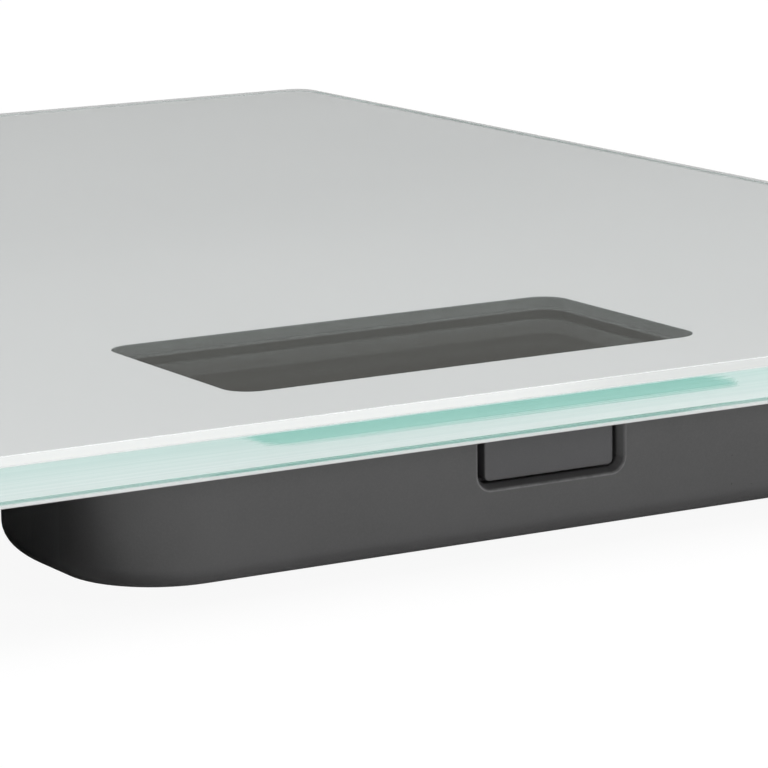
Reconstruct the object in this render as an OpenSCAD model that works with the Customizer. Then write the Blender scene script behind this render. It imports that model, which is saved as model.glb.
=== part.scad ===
// Glass-top kitchen scale: a tempered glass platform on four load-cell feet,
// with an electronics pod (display, button, battery) bonded under its front edge.
// Millimetres. Origin: centre of the footprint on the table. X right, Y to the back, Z up.
// Every sub-part is its own solid, at its place in the assembly.

/* [Platform] */
// width of the glass, left to right
platform_width = 208; // [160:1:260]
// depth of the glass, front to back
platform_depth = 238; // [180:1:300]
// glass thickness
glass_t = 5.25; // [4:0.25:8]
// corner radius of the glass in plan
corner_r = 4.5; // [3:0.5:30]
// bevel along the upper edge
bevel_top = 0.95; // [0.2:0.05:1.5]
// bevel along the lower edge
bevel_bottom = 0.85; // [0.2:0.05:1.5]
// table to glass underside
glass_z = 14.25; // [13:0.25:22]

/* [Display window] */
// width of the clear window in the print
window_width = 60.4; // [40:0.1:62]
// depth of the clear window
window_depth = 31.6; // [18:0.1:33]
// window corner radius
window_r = 3.3; // [1:0.1:8]
// glass front edge to window front edge
window_setback = 18.95; // [18.95:0.05:20]

/* [Electronics pod] */
// half the width of the pod
pod_half_width = 53.1; // [45:0.1:80]
// glass front edge to pod front face
pod_setback = 4.3; // [2:0.1:20]
// glass front edge to pod back face
pod_reach = 54.5; // [50:0.1:70]
// plan radius of the two front corners
pod_front_r = 11.6; // [6:0.1:16]
// plan radius of the two back corners
pod_back_r = 32.1; // [10:0.1:33]
// rounding along the bottom edge
pod_fillet = 2.1; // [1:0.1:4]
// table to pod underside
pod_z = 2.2; // [1:0.1:4]
// wall thickness
pod_wall = 1.8; // [1.5:0.1:2.2]

/* [Button] */
// width of the power button
button_width = 16.3; // [10:0.1:20]
// height of the power button
button_height = 4.6; // [3:0.1:4.8]
// button side to the edge of its tapered pocket
button_gap = 1.3; // [1:0.1:2]
// how far the button face sits behind the front face
button_inset = 0.6; // [0:0.1:1]

/* [Feet] */
// foot centre to the glass side edge
foot_side = 24; // [22:0.5:40]
// foot centre to the glass front or back edge
foot_end = 30; // [24:0.5:40]
// radius of the foot housing at the glass
foot_r = 20; // [18:0.5:22]

/* [Battery] */
// coin cell diameter
cell_d = 20; // [16:0.5:20]
// coin cell thickness
cell_t = 3.2; // [2:0.1:3.2]
// battery centre, left or right of the middle
cell_x = 20; // [16:0.5:24]

/* [View] */
// which node to build

/* [Hidden] */

$fn = 64;
eps = 0.01;
front_y = -platform_depth / 2;
print_t = 0.1;
print_z = glass_z - print_t;          // underside of the print
tape_t = 0.3;
tape_z = print_z - tape_t;            // top rim of the pod
win_y0 = front_y + window_setback;
win_y1 = win_y0 + window_depth;
pod_y0 = front_y + pod_setback;
pod_y1 = front_y + pod_reach;
pod_floor = pod_z + 1.6;              // inside face of the floor
rim_h = 1.25;                         // display frame height
rim_z = print_z - rim_h;              // the display's face lies against it
lcd_t = 1.1;
lcd_z = rim_z - lcd_t;
pcb_t = 1.2;
pcb_z = 7.6;
pcb_top = pcb_z + pcb_t;
cell_y = -92;
cell_z = pod_floor + 0.05;
front_wall = 2.2;
button_z0 = 9;
button_z1 = button_z0 + button_height;
button_cz = (button_z0 + button_z1) / 2;
mouth_a = button_width / 2 + button_gap; // half width of the pocket at the front face
mouth_z0 = button_z0 - 0.95;
mouth_r = 1.8;
plunger_z = 10.8;                     // height of the switch's plunger
roof_z = print_z - 1.2;               // inside of the foot housing's roof
unit_x = -22;
unit_y = -92;
cable_r = 0.8;
cable_z = print_z - 1.2;
fx = platform_width / 2 - foot_side;
fy = platform_depth / 2 - foot_end;
back_lane = 42;                       // where the rear cables run

// ---------- shared shapes ----------

// rounded rectangle centred on the origin
module rrect(w, d, r) {
  square([w - 2 * r, d], center = true);
  square([w, d - 2 * r], center = true);
  for (sx = [-1, 1], sy = [-1, 1])
    translate([sx * (w / 2 - r), sy * (d / 2 - r)]) circle(r);
}

// plate with bevels along its upper and lower edges
module bevelled_plate(w, d, t, r, ct, cb) {
  module side(half, len)
    rotate([90, 0, 90]) translate([0, 0, -len / 2]) linear_extrude(len)
      polygon([[-half, cb], [-half + cb, 0], [half - cb, 0], [half, cb],
        [half, t - ct], [half - ct, t], [-half + ct, t], [-half, t - ct]]);
  side(d / 2, w - 2 * r);
  rotate([0, 0, 90]) side(w / 2, d - 2 * r);
  for (sx = [-1, 1], sy = [-1, 1])
    translate([sx * (w / 2 - r), sy * (d / 2 - r), 0])
      rotate_extrude()
        polygon([[0, 0], [r - cb, 0], [r, cb], [r, t - ct], [r - ct, t], [0, t]]);
}

// section of one side of the pod: w wide from the middle, rounded at the lower corner
module pod_section(w, h, f) {
  if (f > 0) {
    translate([0, f]) square([w, h - f]);
    square([w - f, h]);
    translate([w - f, f]) circle(f);
  } else square([w, h]);
}

// the pod's plan, pulled in by i, from z0 up by h, with a lower edge fillet f
module pod_body(i, z0, h, f = 0) {
  a = pod_half_width - i;
  y0 = pod_y0 + i;
  y1 = pod_y1 - i;
  rf = pod_front_r - i;
  rb = pod_back_r - i;
  translate([0, 0, z0]) {
    // front corners and back corners
    for (s = [0, 1]) mirror([s, 0, 0]) {
      translate([a - rf, y0 + rf, 0]) rotate([0, 0, -90])
        rotate_extrude(angle = 90) pod_section(rf, h, f);
      translate([a - rb, y1 - rb, 0])
        rotate_extrude(angle = 90) pod_section(rb, h, f);
      // side strip
      translate([a - rf, y1 - rb, 0]) rotate([90, 0, 0])
        linear_extrude(y1 - rb - (y0 + rf)) pod_section(rf, h, f);
    }
    // front strip and back strip
    translate([-(a - rf), y0 + rf, 0]) rotate([0, 0, -90]) rotate([90, 0, 0])
      translate([0, 0, -2 * (a - rf)]) linear_extrude(2 * (a - rf)) pod_section(rf, h, f);
    translate([a - rb, y1 - rb, 0]) rotate([0, 0, 90]) rotate([90, 0, 0])
      translate([0, 0, -2 * (a - rb)]) linear_extrude(2 * (a - rb)) pod_section(rb, h, f);
    // core
    translate([-(a - rf), y0 + rf, 0]) cube([2 * (a - rf), y1 - rb - (y0 + rf), h]);
  }
}

// rounded bar lying along Y, for the button and its pocket
module y_bar(w, h, r, y0, y1, cz)
  translate([0, y1, cz]) rotate([90, 0, 0]) linear_extrude(y1 - y0) rrect(w, h, r);

// tapered pocket round the button: 0.6 narrower all round for each millimetre of depth
module button_mouth() {
  b = mouth_a - mouth_r;
  cz = mouth_z0 + mouth_r;
  translate([0, pod_y0, 0]) {
    translate([-b, 0, 0]) rotate([90, 0, 90]) linear_extrude(2 * b)
      polygon([[-1, mouth_z0 - 0.6], [1, mouth_z0 + 0.6], [1, cz + 1], [-1, cz + 1]]);
    for (s = [0, 1]) mirror([s, 0, 0]) {
      translate([0, 0, cz]) linear_extrude(10)
        polygon([[-1, -1], [mouth_a + 0.6, -1], [mouth_a - 0.6, 1], [-1, 1]]);
      translate([b, -1, cz]) rotate([-90, 0, 0])
        cylinder(r1 = mouth_r + 0.6, r2 = mouth_r - 0.6, h = 2);
    }
  }
}

// part of a ring: radii r0 to r1, from angle a0 through da, z0 up by h
module arc_ring(r0, r1, a0, da, z0, h)
  translate([0, 0, z0]) rotate([0, 0, a0]) rotate_extrude(angle = da)
    translate([r0, 0]) square([r1 - r0, h]);

// ---------- platform ----------

module glass_platform()
  color([0.80, 0.93, 0.89, 0.45])
    translate([0, 0, glass_z])
      bevelled_plate(platform_width, platform_depth, glass_t, corner_r, bevel_top, bevel_bottom);

module back_print()
  color([0.80, 0.81, 0.81])
    translate([0, 0, print_z]) linear_extrude(print_t)
      difference() {
        rrect(platform_width - 2.2, platform_depth - 2.2, corner_r - 1);
        translate([0, (win_y0 + win_y1) / 2]) rrect(window_width, window_depth, window_r);
      }

// ---------- pod ----------

module pod_tape()
  color([0.10, 0.10, 0.10])
    difference() {
      pod_body(0.1, tape_z, tape_t);
      pod_body(pod_wall, tape_z - 1, tape_t + 2);
    }

module pod_housing()
  color([0.20, 0.20, 0.21]) {
    difference() {
      union() {
        difference() {
          pod_body(0, pod_z, tape_z - pod_z, pod_fillet);
          pod_body(pod_wall, pod_floor, 20);
        }
        // front wall made up to full thickness behind the button
        translate([-16, pod_y0 + 1, pod_z + 1]) cube([32, front_wall - 1, tape_z - pod_z - 1]);
        // cage round the coin cell
        translate([cell_x, cell_y, 0]) difference() {
          translate([0, 0, pod_floor - 0.6]) cylinder(r = 15.6, h = 4);
          translate([0, 0, pod_floor - 1]) cylinder(r = 14.3, h = 6);
        }
        // stops for the battery door's lugs
        for (t = [0, 180]) translate([cell_x, cell_y, 0]) {
          arc_ring(13, 14.8, t - 26, 8, pod_floor - 0.6, 1.9);
          arc_ring(13, 14.8, t + 78, 8, pod_floor - 0.6, 1.9);
        }
        // screw bosses and rear posts for the circuit board
        for (s = [-1, 1]) {
          translate([s * 41, -104, pod_floor - 0.6]) cylinder(d = 4.6, h = pcb_z - pod_floor + 0.6);
          translate([s * 28, -72, pod_floor - 0.6]) cylinder(d = 4, h = pcb_z - pod_floor + 0.6);
        }
      }
      // button notch, open at the top where the glass closes it
      button_mouth();
      y_bar(button_width + 1.4, 10, 1.2, pod_y0 + 0.9, pod_y0 + 4, mouth_z0 + 5.6);
      // battery opening with two notches for the door's lugs
      translate([cell_x, cell_y, pod_z - 1]) cylinder(r = 12.7, h = 4);
      translate([cell_x, cell_y, 0]) for (t = [60, 240])
        arc_ring(12, 14.25, t - 18, 36, pod_z - 1, 4);
      // unit switch slot in a shallow dish
      translate([unit_x, unit_y, pod_z - 1]) linear_extrude(1.8) rrect(11, 6, 2.5);
      translate([unit_x, unit_y, pod_z - 1]) linear_extrude(4) rrect(6, 2.4, 0.4);
      // screw holes
      for (s = [-1, 1]) translate([s * 41, -104, pod_floor]) cylinder(d = 1.7, h = 10);
      // cable notches in the rim
      for (s = [-1, 1]) {
        translate([s * 53 - 4, -fy - 1, cable_z - 1]) cube([8, 2, 4]);
        translate([s * back_lane - 1, -77, cable_z - 1]) cube([2, 9, 4]);
      }
    }
  }

// slab for the display frame and the carrier under it; its rear corners follow the pod's wall
module frame_slab(z, h)
  intersection() {
    pod_body(pod_wall + 0.25, z, h);
    translate([-window_width / 2 - 3, win_y0 - 2.3, z - 1])
      cube([window_width + 6, window_depth + 4, h + 2]);
  }

module display_frame()
  color([0.36, 0.38, 0.36])
    difference() {
      frame_slab(rim_z, rim_h);
      translate([0, (win_y0 + win_y1) / 2, rim_z - 1]) linear_extrude(rim_h + 2)
        rrect(window_width + 0.3, window_depth + 0.3, window_r);
    }

// carrier round the front and sides of the display, with ears and legs to the circuit board
module lcd_bezel()
  color([0.16, 0.15, 0.15]) {
    difference() {
      frame_slab(lcd_z, lcd_t);
      translate([-31, -101.85, lcd_z - 1]) cube([62, 60, lcd_t + 2]);
    }
    for (s = [-1, 1], y = [-98.5, -84]) {
      translate([s * 33.4 - 1, y - 1.3, lcd_z]) cube([2, 2.6, lcd_t]);
      translate([s * 34.4, y, pcb_top]) cylinder(d = 2.6, h = rim_z - pcb_top);
      translate([s * 34.4, y, pcb_z + 0.1]) cylinder(d = 1.2, h = pcb_t + 0.2);
    }
  }

// two glass plates with clipped rear corners; the lower one is longer at the front,
// where the contact strip meets it
module lcd_glass()
  color([0.33, 0.33, 0.31])
    for (k = [0, 1])
      translate([0, 0, lcd_z + k * lcd_t / 2]) linear_extrude(lcd_t / 2 + (k == 0 ? 0.05 : 0))
        polygon([[-30.85, k == 0 ? -101.7 : -101], [30.85, k == 0 ? -101.7 : -101],
          [30.85, -70.2], [28.6, -67.9], [-28.6, -67.9], [-30.85, -70.2]]);

module zebra_connector()
  color([0.75, 0.72, 0.68])
    translate([-27, -101, pcb_top]) cube([54, 1.8, lcd_z - pcb_top]);

module lcd_cushion()
  color([0.12, 0.12, 0.12])
    translate([-25, -74, pcb_top]) cube([50, 1.8, lcd_z - pcb_top]);

module main_pcb()
  color([0.10, 0.36, 0.20])
    difference() {
      union() {
        translate([-45, -108, pcb_z]) cube([90, 28, pcb_t]);
        translate([-31.5, -81, pcb_z]) cube([63, 11, pcb_t]);
      }
      for (s = [-1, 1]) {
        translate([s * 41, -104, pcb_z - 1]) cylinder(d = 2.2, h = 4);
        for (y = [-98.5, -84]) translate([s * 34.4, y, pcb_z - 1]) cylinder(d = 1.3, h = 4);
      }
    }

module mcu_cob()
  color([0.05, 0.05, 0.05])
    translate([-4, -85, pcb_top]) rotate_extrude()
      polygon([[0, 0], [4.6, 0], [4.4, 0.4], [3.6, 0.68], [2.4, 0.85], [0, 0.92]]);

module adc_chip()
  color([0.09, 0.09, 0.10])
    translate([35.2, -96, pcb_top]) {
      translate([0.9, 0, 0.15]) cube([3.9, 8.6, 1.35]);
      for (k = [0:5]) translate([0, 0.7 + k * 1.27, 0]) cube([5.7, 0.5, 0.7]);
    }

module pcb_screws()
  color([0.75, 0.75, 0.77])
    for (s = [-1, 1]) translate([s * 41, -104, 0]) {
      translate([0, 0, pcb_z - 3]) cylinder(d = 1.66, h = pcb_t + 3.1);
      difference() {
        translate([0, 0, pcb_top]) cylinder(d = 3.8, h = 1.3);
        translate([-1.1, -0.25, pcb_top + 0.8]) cube([2.2, 0.5, 1]);
        translate([-0.25, -1.1, pcb_top + 0.8]) cube([0.5, 2.2, 1]);
      }
    }

module tact_switch()
  color([0.15, 0.15, 0.16])
    difference() {
      translate([-3, -108.6, pcb_top]) cube([6, 3.6, 3.5]);
      translate([0, -107, plunger_z]) rotate([90, 0, 0]) cylinder(r = 1.1, h = 4);
    }

module switch_plunger()
  color([0.85, 0.83, 0.78])
    translate([0, -107.9, plunger_z]) rotate([90, 0, 0]) cylinder(r = 1, h = 1.9);

module button_cap()
  color([0.27, 0.27, 0.28]) {
    y_bar(button_width, button_height, 0.6, pod_y0 + button_inset, pod_y0 + front_wall + 0.2, button_cz);
    // flange behind the wall
    translate([-10, pod_y0 + front_wall + 0.1, button_z0 - 1])
      cube([20, 1, button_height + 1]);
    // rib that meets the switch
    translate([0, -109.8, plunger_z]) rotate([90, 0, 0])
      cylinder(r = 1.5, h = -109.8 - (pod_y0 + front_wall + 0.6));
  }

module battery_cell()
  color([0.78, 0.78, 0.79])
    translate([cell_x, cell_y, cell_z]) rotate_extrude()
      polygon([[0, 0], [cell_d / 2 - 0.25, 0], [cell_d / 2, 0.25], [cell_d / 2, cell_t - 0.7],
        [cell_d / 2 - 0.5, cell_t - 0.25], [cell_d / 2 - 1.2, cell_t - 0.25],
        [cell_d / 2 - 1.3, cell_t], [0, cell_t]]);

module battery_contact_pos()
  color([0.80, 0.78, 0.70])
    translate([cell_x + cell_d / 2 + 0.05, cell_y - 2.5, 0]) {
      translate([0, 0, 5.3]) cube([0.3, 5, pcb_z - 5.3]);
      translate([0, 0, pcb_z - 0.25]) cube([3.2, 5, 0.25]);
    }

module battery_contact_neg()
  color([0.80, 0.78, 0.70])
    translate([cell_x, cell_y + 2.2, 0]) rotate([90, 0, 0]) linear_extrude(4.4)
      polygon([[-8, pcb_z], [-8, pcb_z - 0.25], [-3, pcb_z - 0.25], [-0.6, cell_z + cell_t + 0.03],
        [0.9, cell_z + cell_t + 0.03], [2.4, pcb_z - 0.3], [2.1, pcb_z - 0.15],
        [0.7, cell_z + cell_t + 0.28], [-0.4, cell_z + cell_t + 0.28], [-2.8, pcb_z]]);

module battery_door()
  color([0.22, 0.22, 0.23])
    translate([cell_x, cell_y, 0]) difference() {
      union() {
        translate([0, 0, pod_z]) cylinder(r = 12.5, h = 1.5);
        translate([0, 0, pod_z + 1]) difference() {
          cylinder(r = 12.5, h = 1.75);
          translate([0, 0, -1]) cylinder(r = 10.6, h = 4);
        }
        for (t = [0, 180]) arc_ring(12, 13.9, t - 15, 30, pod_floor + 0.1, 1.05);
      }
      // coin slot
      translate([0, 0, pod_z - 1]) linear_extrude(1.8) rrect(13, 1.8, 0.85);
    }

module unit_switch()
  color([0.16, 0.16, 0.17])
    translate([unit_x, unit_y, 0]) difference() {
      translate([-4.3, -1.9, 4.2]) cube([8.6, 3.8, pcb_z - 4.2]);
      translate([-2.2, -1, 3]) cube([4.4, 2, 2.5]);
    }

module unit_slider()
  color([0.92, 0.92, 0.90])
    translate([unit_x - 2, unit_y - 0.8, 0]) union() {
      translate([0, 0, pod_z + 0.3]) cube([2, 1.6, 2.8]);
      for (k = [0:2]) translate([0.25 + k * 0.6, 0, pod_z + 0.15]) cube([0.3, 1.6, 0.3]);
    }

// ---------- feet ----------

// housing glued to the glass; its cable slot points along +X
module foot_shell()
  color([0.20, 0.20, 0.21]) {
    difference() {
      rotate_extrude() polygon([[0, roof_z], [foot_r - 2.4, roof_z], [foot_r - 2.9, 5], [foot_r - 3.1, 4],
        [foot_r - 1.5, 4], [foot_r - 1.3, 4.3], [foot_r - 0.6, 12.2], [foot_r, 12.9], [foot_r, print_z], [0, print_z]]);
      translate([7, -1.2, cable_z - 1]) cube([20, 2.4, 4]);
    }
    // posts with heat-staked ends that hold the load cell
    for (sx = [-1, 1], sy = [-1, 1]) translate([sx * 9.8, sy * 9.8, 0]) {
      translate([0, 0, 11.4]) cylinder(d = 3.4, h = roof_z - 11.4 + 0.2);
      translate([0, 0, 10]) cylinder(d = 1.7, h = 2);
      translate([0, 0, 9.5]) cylinder(d1 = 2.2, d2 = 3, h = 0.7);
    }
  }

// steel plate with a bending tongue, and the strain gauge on the tongue's root
module load_cell()
  color([0.72, 0.73, 0.75]) {
    difference() {
      translate([0, 0, 10.2]) linear_extrude(1.2) rrect(24, 24, 1);
      for (s = [-1, 1]) translate([s * 5.8 - 0.6, -7.6, 9]) cube([1.2, 14.6, 4]);
      translate([-5.8, -7.6, 9]) cube([11.6, 1.2, 4]);
      translate([0, 0, 9]) cylinder(d = 5.6, h = 4);
      for (sx = [-1, 1], sy = [-1, 1]) translate([sx * 9.8, sy * 9.8, 9]) cylinder(d = 1.8, h = 4);
    }
    translate([-2.5, 4, 11.3]) cube([5, 2.6, 0.25]);
  }

// moving foot: stem through the tongue, captive head above it
module foot_button()
  color([0.24, 0.24, 0.25])
    difference() {
      rotate_extrude() polygon([[0, 1], [12.6, 1], [13.6, 1.5], [14, 2.4], [14, 3.8], [13.2, 4.6],
        [6, 5.4], [5, 6], [5, 9.6], [2.6, 9.6], [2.6, 11.45], [3.5, 11.45], [3.5, 11.8], [3, 12.2], [0, 12.2]]);
      translate([0, 0, 0]) cylinder(r = 11.1, h = 1.6);
    }

// rubber disc in the foot's recess
module foot_pad()
  color([0.06, 0.06, 0.06])
    rotate_extrude() polygon([[0, 0], [10.3, 0], [11, 0.6], [11, 1.58], [0, 1.58]]);

module foot_shell_fl() translate([-fx, -fy, 0]) foot_shell();
module foot_shell_fr() translate([fx, -fy, 0]) rotate([0, 0, 180]) foot_shell();
module foot_shell_bl() translate([-fx, fy, 0]) foot_shell();
module foot_shell_br() translate([fx, fy, 0]) rotate([0, 0, 180]) foot_shell();
module load_cell_fl() translate([-fx, -fy, 0]) load_cell();
module load_cell_fr() translate([fx, -fy, 0]) load_cell();
module load_cell_bl() translate([-fx, fy, 0]) rotate([0, 0, 180]) load_cell();
module load_cell_br() translate([fx, fy, 0]) rotate([0, 0, 180]) load_cell();
module foot_button_fl() translate([-fx, -fy, 0]) foot_button();
module foot_button_fr() translate([fx, -fy, 0]) foot_button();
module foot_button_bl() translate([-fx, fy, 0]) foot_button();
module foot_button_br() translate([fx, fy, 0]) foot_button();
module foot_pad_fl() translate([-fx, -fy, 0]) foot_pad();
module foot_pad_fr() translate([fx, -fy, 0]) foot_pad();
module foot_pad_bl() translate([-fx, fy, 0]) foot_pad();
module foot_pad_br() translate([fx, fy, 0]) foot_pad();

// ---------- cables ----------

module rod_x(x0, x1) translate([x0, 0, 0]) rotate([0, 90, 0]) cylinder(r = cable_r, h = x1 - x0, $fn = 24);
module tail(x, y, z0) translate([x, y, z0]) cylinder(r = cable_r, h = cable_z - z0, $fn = 24);
module knee(x, y) translate([x, y, cable_z]) sphere(r = cable_r, $fn = 24);

// right-hand front cable: load cell to circuit board
module front_cable() color([0.09, 0.09, 0.10]) {
  translate([0, -fy, cable_z]) rod_x(back_lane, fx - 9.3);
  tail(fx - 9.3, -fy, 11.4);
  knee(fx - 9.3, -fy);
  tail(back_lane, -fy, pcb_top);
  knee(back_lane, -fy);
}

// right-hand rear cable: load cell, one bend, then forward to the circuit board
module rear_cable() color([0.09, 0.09, 0.10]) {
  translate([0, fy, cable_z]) rod_x(back_lane + 8, fx - 9.3);
  tail(fx - 9.3, fy, 11.4);
  knee(fx - 9.3, fy);
  translate([back_lane + 8, fy - 8, cable_z]) rotate([0, 0, 90]) rotate_extrude(angle = 90)
    translate([8, 0]) circle(cable_r, $fn = 24);
  translate([back_lane, fy - 8, cable_z]) rotate([90, 0, 0])
    cylinder(r = cable_r, h = fy - 8 + 82, $fn = 24);
  tail(back_lane, -82, pcb_top);
  knee(back_lane, -82);
}

module cable_fr() front_cable();
module cable_fl() mirror([1, 0, 0]) front_cable();
module cable_br() rear_cable();
module cable_bl() mirror([1, 0, 0]) rear_cable();

// saddle glued to the print, round the cable
module cable_clip(x, y)
  color([0.18, 0.18, 0.19])
    translate([x, y, 0]) difference() {
      union() {
        translate([-4, -3, print_z - 0.8]) cube([8, 6, 0.8]);
        translate([-1.7, -3, cable_z - 1.3]) cube([3.4, 6, print_z - cable_z + 1.2]);
      }
      translate([0, 4, cable_z]) rotate([90, 0, 0]) cylinder(r = cable_r + 0.05, h = 8, $fn = 24);
    }

module cable_clip_r1() cable_clip(back_lane, 40);
module cable_clip_r2() cable_clip(back_lane, -20);
module cable_clip_l1() cable_clip(-back_lane, 40);
module cable_clip_l2() cable_clip(-back_lane, -20);

// ---------- assembly ----------
glass_platform();
back_print();
pod_tape();
pod_housing();
display_frame();
lcd_bezel();
lcd_glass();
zebra_connector();
lcd_cushion();
main_pcb();
mcu_cob();
adc_chip();
pcb_screws();
tact_switch();
switch_plunger();
button_cap();
battery_cell();
battery_contact_pos();
battery_contact_neg();
battery_door();
unit_switch();
unit_slider();
foot_shell_fl();
foot_shell_fr();
foot_shell_bl();
foot_shell_br();
load_cell_fl();
load_cell_fr();
load_cell_bl();
load_cell_br();
foot_button_fl();
foot_button_fr();
foot_button_bl();
foot_button_br();
foot_pad_fl();
foot_pad_fr();
foot_pad_bl();
foot_pad_br();
cable_fl();
cable_fr();
cable_bl();
cable_br();
cable_clip_l1();
cable_clip_l2();
cable_clip_r1();
cable_clip_r2();
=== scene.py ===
import math

import bmesh
import bpy
from mathutils import Matrix, Vector

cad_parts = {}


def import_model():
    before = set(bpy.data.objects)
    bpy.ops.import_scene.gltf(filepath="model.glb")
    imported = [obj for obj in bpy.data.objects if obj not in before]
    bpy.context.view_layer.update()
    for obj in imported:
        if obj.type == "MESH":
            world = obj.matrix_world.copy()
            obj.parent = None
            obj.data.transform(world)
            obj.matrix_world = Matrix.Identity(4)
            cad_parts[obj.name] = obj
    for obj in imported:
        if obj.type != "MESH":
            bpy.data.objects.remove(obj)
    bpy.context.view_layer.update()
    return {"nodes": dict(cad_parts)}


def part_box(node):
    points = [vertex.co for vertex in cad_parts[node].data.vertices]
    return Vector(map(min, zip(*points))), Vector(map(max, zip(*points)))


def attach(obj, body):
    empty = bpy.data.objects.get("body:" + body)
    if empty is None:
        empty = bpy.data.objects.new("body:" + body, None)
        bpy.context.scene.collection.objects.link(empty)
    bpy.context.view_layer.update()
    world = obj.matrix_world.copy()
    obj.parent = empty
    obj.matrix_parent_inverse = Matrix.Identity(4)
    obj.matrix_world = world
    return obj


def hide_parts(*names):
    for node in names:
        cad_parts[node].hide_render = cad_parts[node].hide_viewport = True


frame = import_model()
N = frame["nodes"]
MM = 0.001

# the glass platform, from the CAD box, and the roundings and the window that the box doesn't tell
g_lo, g_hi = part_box("glass_platform")
PRINT_LIFT = 0.02 * MM                 # the print's face sits this far above its film
GLASS_BOTTOM, GLASS_TOP = g_lo.z + PRINT_LIFT, g_hi.z
CORNER_R, BEVEL_TOP, BEVEL_BOTTOM = 4.5 * MM, 0.95 * MM, 0.85 * MM
ARRIS = 0.12 * MM                      # the small rounding between a bevel and its faces
WINDOW_HALF, WINDOW_R = 30.2 * MM, 3.3 * MM
WINDOW_FRONT, WINDOW_BACK = g_lo.y + 18.95 * MM, g_lo.y + 50.55 * MM

# the button's pocket in the pod's front face
pod_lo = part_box("pod_housing")[0]
POCKET_BOTTOM, POCKET_HALF, POCKET_R = 8.05 * MM, 9.45 * MM, 1.8 * MM


# ---------------------------------------------------------------- shader helpers
class Shader:
    """A material under construction: object-space coordinates in, one surface out."""

    def __init__(self, name):
        self.m = bpy.data.materials.new(name)
        self.m.use_nodes = True
        self.nt = self.m.node_tree
        self.nt.nodes.clear()
        self.out = self.add("ShaderNodeOutputMaterial")
        self.co = self.add("ShaderNodeTexCoord").outputs["Object"]

    def add(self, kind, **sets):
        n = self.nt.nodes.new(kind)
        for k, v in sets.items():
            if k.startswith("_"):
                n.inputs[k[1:].replace("_", " ")].default_value = v
            else:
                setattr(n, k, v)
        return n

    def link(self, a, b):
        self.nt.links.new(a, b)

    def math(self, op, a, b=None, c=None):
        n = self.add("ShaderNodeMath", operation=op)
        for i, v in enumerate((a, b, c)):
            if v is None:
                continue
            if isinstance(v, (int, float)):
                n.inputs[i].default_value = v
            else:
                self.link(v, n.inputs[i])
        return n.outputs[0]

    def scaled(self, sx, sy, sz):
        n = self.add("ShaderNodeMapping")
        n.inputs["Scale"].default_value = (sx, sy, sz)
        self.link(self.co, n.inputs["Vector"])
        return n.outputs[0]

    def noise(self, scale, detail=2.0, rough=0.5, vec=None, distortion=0.0):
        n = self.add("ShaderNodeTexNoise", _Scale=scale, _Detail=detail, _Roughness=rough, _Distortion=distortion)
        self.link(vec or self.co, n.inputs["Vector"])
        return n.outputs["Fac"]

    def voronoi(self, scale, feature="F1", vec=None):
        n = self.add("ShaderNodeTexVoronoi", feature=feature, _Scale=scale)
        self.link(vec or self.co, n.inputs["Vector"])
        return n.outputs["Distance"]

    def span(self, v, a, b, lo=0.0, hi=1.0, kind="SMOOTHSTEP"):
        n = self.add("ShaderNodeMapRange", interpolation_type=kind)
        n.inputs["From Min"].default_value = a
        n.inputs["From Max"].default_value = b
        n.inputs["To Min"].default_value = lo
        n.inputs["To Max"].default_value = hi
        self.link(v, n.inputs["Value"])
        return n.outputs[0]

    def mix(self, fac, a, b, blend="MIX"):
        n = self.add("ShaderNodeMix", data_type="RGBA", blend_type=blend)
        for v, s in ((fac, n.inputs[0]), (a, n.inputs[6]), (b, n.inputs[7])):
            if isinstance(v, (int, float)):
                s.default_value = v
            elif isinstance(v, tuple):
                s.default_value = (*v, 1)
            else:
                self.link(v, s)
        return n.outputs[2]

    def axes(self):
        n = self.add("ShaderNodeSeparateXYZ")
        self.link(self.co, n.inputs[0])
        return n.outputs

    def past(self, a, b, half_a, half_b, r):
        """How far a point (a, b) lies outside a rounded rectangle's outline; less than 0 inside it."""
        qa, qb = self.math("SUBTRACT", a, half_a - r), self.math("SUBTRACT", b, half_b - r)
        ma, mb = self.math("MAXIMUM", qa, 0.0), self.math("MAXIMUM", qb, 0.0)
        far = self.math("SQRT", self.math("ADD", self.math("MULTIPLY", ma, ma), self.math("MULTIPLY", mb, mb)))
        near = self.math("MINIMUM", self.math("MAXIMUM", qa, qb), 0.0)
        return self.math("SUBTRACT", self.math("ADD", far, near), r)

    def bump(self, height, distance, normal=None):
        n = self.add("ShaderNodeBump", _Strength=1.0, _Distance=distance)
        self.link(height, n.inputs["Height"])
        if normal:
            self.link(normal, n.inputs["Normal"])
        return n.outputs[0]

    def round_edges(self, radius):
        return self.add("ShaderNodeBevel", samples=6, _Radius=radius).outputs[0]

    def surface(self, **sockets):
        p = self.add("ShaderNodeBsdfPrincipled")
        for k, v in sockets.items():
            s = p.inputs[k.replace("_", " ")]
            if isinstance(v, (int, float)):
                s.default_value = v
            elif isinstance(v, tuple):
                s.default_value = (*v, 1) if len(v) == 3 and s.type == "RGBA" else v
            else:
                self.link(v, s)
        self.link(p.outputs[0], self.out.inputs["Surface"])
        return p


def edge_mask(s, radius):
    """1 where a small rounding turns the surface, 0 on flats."""
    b = s.round_edges(radius)
    g = s.add("ShaderNodeNewGeometry")
    d = s.add("ShaderNodeVectorMath", operation="DOT_PRODUCT")
    s.link(b, d.inputs[0])
    s.link(g.outputs["Normal"], d.inputs[1])
    return b, s.span(d.outputs["Value"], 0.999, 0.90)


def scaled_colour(c, k, plus=0.0):
    return tuple(min(1, x * k + plus) for x in c)


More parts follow.
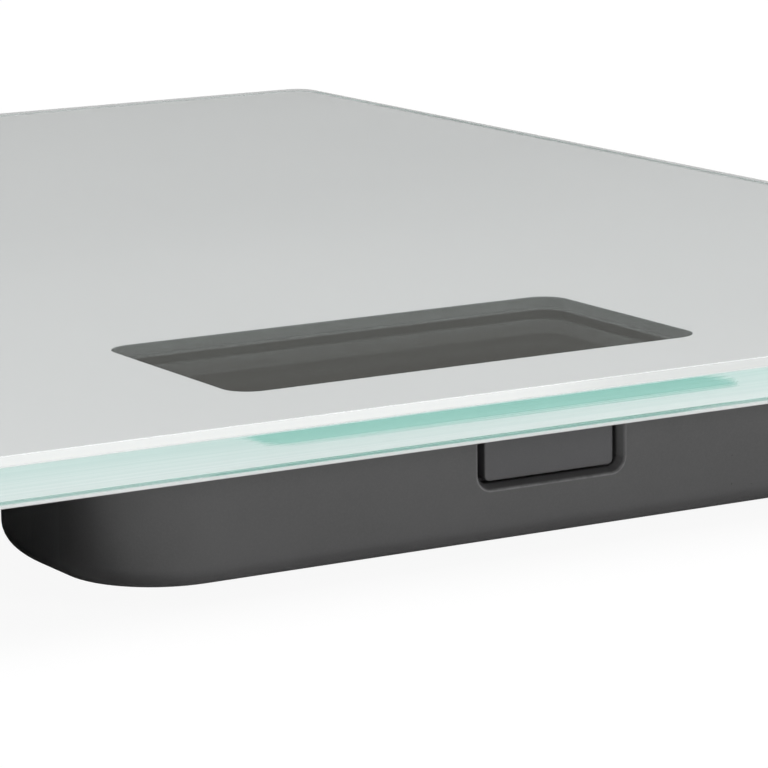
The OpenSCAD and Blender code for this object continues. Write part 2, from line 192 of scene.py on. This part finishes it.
def plastic(name, colour, rough=0.42, grain=0.25, depth=0.012, vary=0.10, edge=0.25, edge_wear_and_highlight=0.25, lip=None):
    """Moulded plastic: spark-eroded grain, soft mottling, faint handling marks, rounded edges made paler, partly as
    wear and partly as a painted highlight.
    In mm: grain is the grain's size, depth its height, and edge the rounding. lip is the mask of a paler line, a
    painted highlight."""
    s = Shader(name)
    normal, rounded_edge = edge_mask(s, edge * MM)
    broad = s.noise(55, 4, 0.55)
    fine = s.noise(1 / (grain * MM), 3, 0.62)
    pits = s.voronoi(0.6 / (grain * MM))
    base = s.mix(s.span(broad, 0.3, 0.7), scaled_colour(colour, 1 - vary), scaled_colour(colour, 1 + vary))
    base = s.mix(s.math("MULTIPLY", s.span(fine, 0.35, 0.75), 0.22), base, scaled_colour(colour, 1.35, 0.006))
    # rounded edges paler: partly wear, partly a painted highlight
    base = s.mix(s.math("MULTIPLY", rounded_edge, edge_wear_and_highlight), base, scaled_colour(colour, 1.7, 0.015))
    # the lip mask paints a highlight line, far paler than the plastic
    if lip:
        base = s.mix(lip(s), base, scaled_colour(colour, 3.2))
    marks = s.noise(1, 3, 0.6, s.scaled(900, 60, 700))
    r = s.math("ADD", s.span(broad, 0.25, 0.75, rough - 0.05, rough + 0.05), s.span(marks, 0.62, 0.8, 0.0, -0.06))
    r = s.math("ADD", r, s.math("MULTIPLY", rounded_edge, -0.08))
    h = s.math("ADD", fine, s.math("MULTIPLY", pits, 0.5))
    s.surface(Base_Color=base, Roughness=r, Normal=s.bump(h, depth * MM, normal), Specular_IOR_Level=0.5)
    return s.m


def metal(name, colour, rough, brushed=(1500, 90, 1500), spots=0.0):
    """Sheet or turned metal. brushed is a scale per axis for its drawing lines."""
    s = Shader(name)
    normal, rounded_edge = edge_mask(s, 0.12 * MM)
    lines = s.noise(1, 3, 0.6, s.scaled(*brushed))
    broad = s.noise(140, 3, 0.5)
    base = s.mix(s.span(broad, 0.3, 0.7), scaled_colour(colour, 0.94), colour)
    if spots:
        spot = s.span(s.noise(420, 4, 0.7), 0.6, 0.75)
        base = s.mix(s.math("MULTIPLY", spot, spots), base, scaled_colour(colour, 0.6))
    base = s.mix(s.math("MULTIPLY", rounded_edge, 0.4), base, scaled_colour(colour, 1.2))
    r = s.span(lines, 0.3, 0.7, rough - 0.07, rough + 0.09)
    s.surface(Base_Color=base, Metallic=1.0, Roughness=r, Normal=s.bump(lines, 0.004 * MM, normal))
    return s.m


def rubber(name, colour, rough, grain=0.35, depth=0.02):
    """Rubber or foam: fine grain, cloudy tone and a little dust."""
    s = Shader(name)
    normal, rounded_edge = edge_mask(s, 0.2 * MM)
    fine, broad = s.noise(1 / (grain * MM), 4, 0.65), s.noise(160, 3, 0.6)
    dust = s.span(s.noise(700, 4, 0.7), 0.55, 0.8)
    base = s.mix(s.span(broad, 0.3, 0.7), scaled_colour(colour, 0.8), scaled_colour(colour, 1.25))
    base = s.mix(s.math("MULTIPLY", dust, 0.14), base, (0.16, 0.155, 0.15))
    base = s.mix(s.math("MULTIPLY", rounded_edge, 0.25), base, (0.09, 0.09, 0.09))
    r = s.span(fine, 0.3, 0.7, rough - 0.06, rough + 0.1)
    s.surface(Base_Color=base, Roughness=r, Normal=s.bump(fine, depth * MM, normal))
    return s.m


# ---------------------------------------------------------------- glass
ABSORB = (0.905, 0.967, 0.955)   # the colour that the glass takes on with depth
DENSITY = 95.0


def clear_glass(name):
    """Soda-lime glass: bends light, absorbs a little red on the way, lets lamps through. Its flat faces are polished,
    and its edge has the lines that a grinding wheel leaves. It is one material all round, so that what light enters
    it also leaves."""
    s = Shader(name)
    x, y, z = s.axes()
    tint = s.add("ShaderNodeBsdfTransparent")
    tint.inputs["Color"].default_value = (0.98, 0.98, 0.98, 1)
    path = s.add("ShaderNodeLightPath")
    p = s.add("ShaderNodeBsdfPrincipled")
    p.inputs["IOR"].default_value = 1.52
    # 1 on the ground edge and the bevels, 0 on the flat faces
    outside = s.past(s.math("ABSOLUTE", x), s.math("ABSOLUTE", y), g_hi.x, g_hi.y, CORNER_R)
    edge = s.span(outside, -0.97 * BEVEL_TOP, -0.88 * BEVEL_TOP, kind="LINEAR")
    lines = s.noise(1, 4, 0.7, s.scaled(7, 7, 5200))
    broad = s.noise(1, 2, 0.5, s.scaled(20, 20, 1500))
    low, high = g_lo.z + BEVEL_BOTTOM, GLASS_TOP - BEVEL_TOP
    upright = s.math("MULTIPLY", s.span(z, low, low + 0.06 * MM), s.span(z, high + 0.06 * MM, high))
    grooves = s.math("MULTIPLY", s.math("ADD", lines, broad), s.math("MULTIPLY", edge, upright))
    s.link(s.bump(grooves, 0.008 * MM), p.inputs["Normal"])
    # the ground faces pass less light; the lower arris has a dark seam and then a frosted strip
    body = s.mix(s.span(lines, 0.35, 0.7), (0.57, 0.69, 0.665), (0.70, 0.79, 0.77))
    arris = s.mix(s.span(z, low - 0.45 * MM, low - 0.25 * MM), (0.93, 0.93, 0.93), (0.36, 0.46, 0.43))
    arris = s.mix(s.span(z, low - 0.08 * MM, low + 0.02 * MM), arris, body)
    tone = s.mix(s.span(z, high - 0.05 * MM, high + 0.05 * MM), arris, (0.74, 0.735, 0.73))
    s.link(s.mix(edge, (1.0, 1.0, 1.0), tone), p.inputs["Base Color"])
    frost_low = s.span(z, low - 0.28 * MM, low - 0.5 * MM, 0.0, 0.85)
    frost_top = s.span(z, high, high + 0.1 * MM, 0.0, 0.45)
    frost = s.math("MULTIPLY", edge, s.math("MAXIMUM", frost_low, frost_top))
    s.link(s.math("SUBTRACT", 1.0, frost), p.inputs["Transmission Weight"])
    ground = s.math("MULTIPLY", edge, s.span(lines, 0.3, 0.75, 0.06, 0.16))
    smears = s.noise(26, 5, 0.62, distortion=0.6)
    s.link(s.math("MAXIMUM", ground, s.span(smears, 0.45, 0.8, 0.0, 0.012)), p.inputs["Roughness"])
    through = s.math("MAXIMUM", path.outputs["Is Shadow Ray"], path.outputs["Is Diffuse Ray"])
    mix = s.add("ShaderNodeMixShader")
    s.link(through, mix.inputs[0])
    s.link(p.outputs[0], mix.inputs[1])
    s.link(tint.outputs[0], mix.inputs[2])
    s.link(mix.outputs[0], s.out.inputs["Surface"])
    v = s.add("ShaderNodeVolumeAbsorption")
    v.inputs["Color"].default_value = (*ABSORB, 1)
    v.inputs["Density"].default_value = DENSITY
    s.link(v.outputs[0], s.out.inputs["Volume"])
    return s.m


def silver_print(name, face=True):
    """Satin silver-grey screen print; face is the side seen through the glass, otherwise its bare back."""
    s = Shader(name)
    broad, mesh, flake = s.noise(9, 3, 0.5), s.noise(2600, 2, 0.6), s.noise(9000, 1, 0.5)
    if face:
        c0, c1, c2 = (0.820, 0.780, 0.792), (0.850, 0.808, 0.820), (0.90, 0.87, 0.88)
    else:
        c0, c1, c2 = (0.50, 0.505, 0.505), (0.56, 0.565, 0.565), (0.62, 0.625, 0.625)
    base = s.mix(s.span(broad, 0.3, 0.7), c0, c1)
    base = s.mix(s.math("MULTIPLY", s.span(flake, 0.5, 0.8), 0.25), base, c2)
    if not face:
        runs = s.noise(1, 4, 0.6, s.scaled(30, 8, 30))
        base = s.mix(s.math("MULTIPLY", s.span(runs, 0.55, 0.8), 0.2), base, (0.44, 0.445, 0.45))
    normal = s.bump(mesh, (0.002 if face else 0.008) * MM)
    s.surface(Base_Color=base, Roughness=s.span(mesh, 0.3, 0.7, 0.42, 0.58), Normal=normal,
              Specular_IOR_Level=0.2 if face else 0.5)
    return s.m


# ---------------------------------------------------------------- mesh helpers
def rrect(x0, x1, y0, y1, r, seg):
    """Points round a rounded rectangle, counter-clockwise from the front right."""
    pts = []
    for cx, cy, a0 in ((x1 - r, y0 + r, -90), (x1 - r, y1 - r, 0), (x0 + r, y1 - r, 90), (x0 + r, y0 + r, 180)):
        for k in range(seg + 1):
            a = math.radians(a0 + 90 * k / seg)
            pts.append((cx + r * math.cos(a), cy + r * math.sin(a)))
    return pts


def new_object(name, bm, mats):
    """A new piece, every face flat: its roundings are cut finely enough, and glass needs true normals."""
    me = bpy.data.meshes.new(name)
    bm.to_mesh(me)
    bm.free()
    for m in mats:
        me.materials.append(m)
    ob = bpy.data.objects.new(name, me)
    bpy.context.scene.collection.objects.link(ob)
    return ob


def ring(bm, pts, z):
    return [bm.verts.new((x, y, z)) for x, y in pts]


def band(bm, a, b):
    n = len(a)
    for i in range(n):
        bm.faces.new((a[i], a[(i + 1) % n], b[(i + 1) % n], b[i]))


def assign(node, mat):
    me = N[node].data
    me.materials.clear()
    me.materials.append(mat)


# ---------------------------------------------------------------- platform
def glass_platform():
    bm = bmesh.new()
    low, high = g_lo.z + BEVEL_BOTTOM, GLASS_TOP - BEVEL_TOP
    # inset from the edge and height, from the underside up over the edge to the top
    profile = [
        (BEVEL_BOTTOM, GLASS_BOTTOM),
        (ARRIS * 0.8, low - ARRIS * 0.8),
        (ARRIS * 0.25, low - ARRIS * 0.1),
        (0, low + ARRIS),
        (0, high - ARRIS),
        (ARRIS * 0.25, high + ARRIS * 0.1),
        (ARRIS * 0.8, high + ARRIS * 0.8),
        (BEVEL_TOP - ARRIS * 0.4, GLASS_TOP - ARRIS * 0.4),
        (BEVEL_TOP - ARRIS * 0.05, GLASS_TOP - ARRIS * 0.12),
        (BEVEL_TOP + ARRIS * 0.5, GLASS_TOP),
    ]
    rings = []
    for inset, z in profile:
        outline = rrect(g_lo.x + inset, g_hi.x - inset, g_lo.y + inset, g_hi.y - inset, CORNER_R - inset, 16)
        rings.append(ring(bm, outline, z))
    for a, b in zip(rings, rings[1:]):
        band(bm, a, b)
    bm.faces.new(rings[-1])
    # underside: the print in contact with the glass, and the bare window
    win = ring(bm, rrect(-WINDOW_HALF, WINDOW_HALF, WINDOW_FRONT, WINDOW_BACK, WINDOW_R, 14), GLASS_BOTTOM)
    bm.faces.new(list(reversed(win)))
    edges = [bm.edges.get((r[i], r[(i + 1) % len(r)])) for r in (rings[0], win) for i in range(len(r))]
    made = bmesh.ops.triangle_fill(bm, edges=edges, use_beauty=True, use_dissolve=False)
    for f in made["geom"]:
        if isinstance(f, bmesh.types.BMFace):
            f.material_index = 1
            if f.normal.z > 0:
                f.normal_flip()
    bmesh.ops.recalc_face_normals(bm, faces=bm.faces)
    ob = new_object("platform_glass", bm, [clear_glass("glass"), silver_print("print_face")])
    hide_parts("glass_platform")
    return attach(ob, "platform")


glass_platform()
assign("back_print", silver_print("print_back", False))

# ---------------------------------------------------------------- CAD nodes
def pocket_lip_highlight(s):
    """A painted highlight on the edge of the button's pocket: a thin line along its rounded U, strongest along the
    bottom.
    """
    x, y, z = s.axes()
    d = s.past(s.math("ABSOLUTE", x), s.math("SUBTRACT", POCKET_BOTTOM, z), POCKET_HALF, 0, POCKET_R)
    line = s.span(s.math("ABSOLUTE", d), 0.20 * MM, 0.06 * MM)
    line = s.math("MULTIPLY", line, s.span(y, pod_lo.y + 0.5 * MM, pod_lo.y + 0.3 * MM))
    uneven = s.span(s.noise(900, 3, 0.6), 0.3, 0.6, 0.55, 1.0)
    strength = s.span(z, POCKET_BOTTOM + 2.2 * MM, POCKET_BOTTOM + 0.5 * MM, 0.35, 0.9)
    return s.math("MULTIPLY", s.math("MULTIPLY", line, uneven), strength)


# the housing carries a painted highlight along its button pocket's lip
housing = plastic("housing_plastic", (0.066, 0.066, 0.067), rough=0.34, grain=0.22, depth=0.010, lip=pocket_lip_highlight)
button_m = plastic("button_plastic", (0.075, 0.075, 0.078), rough=0.46, grain=0.18, depth=0.008, edge=0.3)
foot_m = plastic("foot_plastic", (0.058, 0.058, 0.060), rough=0.45, grain=0.3)
door_m = plastic("door_plastic", (0.060, 0.060, 0.063), rough=0.42, grain=0.22)
black_m = plastic("black_nylon", (0.022, 0.022, 0.022), rough=0.5, grain=0.3)
white_m = plastic("white_nylon", (0.72, 0.72, 0.70), rough=0.4, grain=0.3, vary=0.03, edge_wear_and_highlight=0.1)
bezel_m = plastic("bezel_plastic", (0.030, 0.028, 0.027), rough=0.5, grain=0.25, depth=0.006, edge=0.2)
tape_m = rubber("foam_tape", (0.02, 0.02, 0.02), 0.85, 0.3, 0.03)
pad_m = rubber("pad_rubber", (0.022, 0.022, 0.022), 0.72)
cable_m = rubber("cable_jacket", (0.028, 0.028, 0.030), 0.5, 0.5, 0.008)
steel_m = metal("load_cell_steel", (0.56, 0.57, 0.60), 0.3, (1400, 80, 1400), spots=0.3)
screw_m = metal("screw_steel", (0.62, 0.62, 0.64), 0.25, (700, 700, 4000))
cell_m = metal("cell_steel", (0.66, 0.66, 0.67), 0.2, (900, 900, 2500))
contact_m = metal("contact_metal", (0.68, 0.66, 0.60), 0.22)
resin_m = plastic("chip_resin", (0.015, 0.015, 0.016), rough=0.3, grain=0.2, depth=0.004)


def board():
    s = Shader("circuit_board")
    cells = s.voronoi(260, "DISTANCE_TO_EDGE", s.scaled(1, 1, 0))
    tracks = s.span(cells, 0.055, 0.075, 1, 0)
    base = s.mix(tracks, (0.012, 0.085, 0.035), (0.028, 0.16, 0.07))
    holes = s.voronoi(430, "F1", s.scaled(1, 1, 0))
    base = s.mix(s.span(holes, 0.10, 0.13, 1, 0), base, (0.55, 0.52, 0.42))
    r = s.span(s.noise(300, 3), 0.3, 0.7, 0.22, 0.36)
    s.surface(Base_Color=base, Roughness=r, Normal=s.bump(tracks, 0.03 * MM), Coat_Weight=0.3)
    return s.m


def display_rim():
    """Grey-green plastic round the display, with painted highlight streaks along its length, stronger towards the left.
    """
    s = Shader("frame_plastic")
    normal, rounded_edge = edge_mask(s, 0.15 * MM)
    runs, fine = s.noise(1, 3, 0.55, s.scaled(22, 22, 1300)), s.noise(3200, 3, 0.6)
    left = s.span(s.axes()[0], 12 * MM, -10 * MM)
    base = s.mix(s.span(s.noise(70, 3), 0.3, 0.7), (0.104, 0.099, 0.089), (0.117, 0.111, 0.101))
    # painted highlight streaks, weighted towards the left
    painted_highlight_streak = s.math("MULTIPLY", s.span(runs, 0.48, 0.66), s.math("MULTIPLY_ADD", left, 0.75, 0.1))
    base = s.mix(painted_highlight_streak, base, (0.165, 0.168, 0.155))
    base = s.mix(s.math("MULTIPLY", rounded_edge, 0.2), base, (0.19, 0.195, 0.185))
    s.surface(Base_Color=base, Roughness=s.span(fine, 0.3, 0.7, 0.33, 0.43), Normal=s.bump(fine, 0.003 * MM, normal))
    return s.m


def stripes():
    s = Shader("contact_rubber")
    w = s.math("PINGPONG", s.axes()[0], 0.12 * MM)
    base = s.mix(s.span(w, 0.04 * MM, 0.07 * MM), (0.03, 0.03, 0.03), (0.58, 0.50, 0.46))
    r = s.span(s.noise(900, 3), 0.3, 0.7, 0.45, 0.6)
    s.surface(Base_Color=base, Roughness=r, Normal=s.bump(s.noise(2500, 2), 0.01 * MM))
    return s.m


def display():
    s = Shader("display_glass")
    fine = s.noise(3500, 2, 0.6)
    base = s.mix(s.span(s.noise(60, 3), 0.3, 0.7), (0.044, 0.038, 0.032), (0.051, 0.045, 0.038))
    base = s.mix(s.math("MULTIPLY", s.span(fine, 0.4, 0.7), 0.12), base, (0.068, 0.062, 0.055))
    wiped = s.noise(1, 4, 0.6, s.scaled(40, 220, 40))
    s.surface(Base_Color=base, Roughness=s.span(wiped, 0.3, 0.75, 0.035, 0.075), Normal=s.bump(fine, 0.0001 * MM))
    return s.m


lcd_m, pcb_m, zebra_m, frame_m = display(), board(), stripes(), display_rim()
# the first start of a name that fits a node gives its material
LOOKS = (
    ("foot_shell", housing), ("pod_housing", housing), ("load_cell", steel_m), ("foot_button", foot_m),
    ("foot_pad", pad_m), ("cable_clip", black_m), ("cable_", cable_m), ("button_cap", button_m),
    ("battery_door", door_m), ("display_frame", frame_m), ("lcd_bezel", bezel_m), ("lcd_glass", lcd_m),
    ("zebra_connector", zebra_m), ("lcd_cushion", tape_m), ("pod_tape", tape_m), ("main_pcb", pcb_m),
    ("mcu_cob", resin_m), ("adc_chip", resin_m), ("pcb_screws", screw_m), ("tact_switch", black_m),
    ("switch_plunger", white_m), ("battery_cell", cell_m), ("battery_contact", contact_m),
    ("unit_switch", black_m), ("unit_slider", white_m),
)
for n in N:
    look = next((m for start, m in LOOKS if n.startswith(start)), None)
    if look:
        assign(n, look)

# ---------------------------------------------------------------- studio
def floor():
    s = Shader("floor_paper")
    fine = s.noise(900, 3, 0.6)
    base = s.mix(s.span(s.noise(3, 3), 0.3, 0.7), (0.90, 0.90, 0.90), (0.92, 0.92, 0.92))
    paper = s.surface(Base_Color=base, Roughness=s.span(fine, 0.3, 0.7, 0.8, 0.9), Specular_IOR_Level=0.1)
    # the sweep is lit up to white, so only a trace of the shadow is left on it
    lit, path = s.add("ShaderNodeEmission", _Strength=1.0), s.add("ShaderNodeLightPath")
    mix = s.add("ShaderNodeMixShader")
    s.link(s.math("MULTIPLY", path.outputs["Is Camera Ray"], 0.93), mix.inputs[0])
    s.link(paper.outputs[0], mix.inputs[1])
    s.link(lit.outputs[0], mix.inputs[2])
    # from below the floor is clear, so that the underside of the scale can be looked at
    clear, one_sided = s.add("ShaderNodeBsdfTransparent"), s.add("ShaderNodeMixShader")
    s.link(s.add("ShaderNodeNewGeometry").outputs["Backfacing"], one_sided.inputs[0])
    s.link(mix.outputs[0], one_sided.inputs[1])
    s.link(clear.outputs[0], one_sided.inputs[2])
    s.link(one_sided.outputs[0], s.out.inputs["Surface"])
    bm = bmesh.new()
    radius, sides = 6, 96
    turns = [2 * math.pi * k / sides for k in range(sides)]
    bm.faces.new(ring(bm, [(radius * math.cos(a), radius * math.sin(a)) for a in turns], 0))
    ob = new_object("floor", bm, [s.m])


def softbox(name, place, w, h, radiance, glossy=True):
    """An area lamp aimed at the middle of the table; without glossy it has no mirror image."""
    d = bpy.data.lights.new(name, "AREA")
    d.shape = "RECTANGLE"
    d.size, d.size_y = w, h
    d.energy = math.pi * w * h * radiance
    ob = bpy.data.objects.new(name, d)
    bpy.context.scene.collection.objects.link(ob)
    ob.location = place
    ob.visible_glossy = glossy
    ob.rotation_euler = (-Vector(place)).to_track_quat("-Z", "Y").to_euler()


def world():
    """White to the camera, and a dim warm grey to everything else."""
    w = bpy.data.worlds.new("studio")
    bpy.context.scene.world = w
    w.use_nodes = True
    nt = w.node_tree
    nt.nodes.clear()
    out = nt.nodes.new("ShaderNodeOutputWorld")
    path = nt.nodes.new("ShaderNodeLightPath")
    seen, dim = nt.nodes.new("ShaderNodeBackground"), nt.nodes.new("ShaderNodeBackground")
    seen.inputs[0].default_value = (1, 1, 1, 1)
    seen.inputs[1].default_value = 1.0
    dim.inputs[0].default_value = (1, 0.965, 0.935, 1)
    dim.inputs[1].default_value = 0.12
    mix = nt.nodes.new("ShaderNodeMixShader")
    nt.links.new(path.outputs["Is Camera Ray"], mix.inputs[0])
    nt.links.new(dim.outputs[0], mix.inputs[1])
    nt.links.new(seen.outputs[0], mix.inputs[2])
    nt.links.new(mix.outputs[0], out.inputs[0])


floor()
world()
softbox("overhead", (0.2, 0.3, 2.4), 3.4, 3.4, 2.75)
softbox("front", (0.95, -2.05, 1.0), 1.3, 1.1, 3.3, glossy=False)

# ---------------------------------------------------------------- camera
eye = (-0.2355, g_lo.y - 0.3556, 0.10393)
yaw, pitch, roll = (math.radians(a) for a in (30.815, 11.185, -0.672))
fwd = Vector((math.sin(yaw) * math.cos(pitch), math.cos(yaw) * math.cos(pitch), -math.sin(pitch)))
right = Vector((math.cos(yaw), -math.sin(yaw), 0))
up = right.cross(fwd)
cx = math.cos(roll) * right + math.sin(roll) * up
cy = -math.sin(roll) * right + math.cos(roll) * up
cam_data = bpy.data.cameras.new("camera")
cam_data.sensor_width = 36
cam_data.lens = 192.79
cam_data.clip_start, cam_data.clip_end = 0.01, 50
cam = bpy.data.objects.new("camera", cam_data)
bpy.context.scene.collection.objects.link(cam)
rows = [(cx[i], cy[i], -fwd[i], eye[i]) for i in range(3)]
cam.matrix_world = Matrix((*rows, (0, 0, 0, 1)))
bpy.context.scene.camera = cam
bpy.context.scene.view_settings.view_transform = "Standard"
bpy.context.scene.view_settings.look = "None"
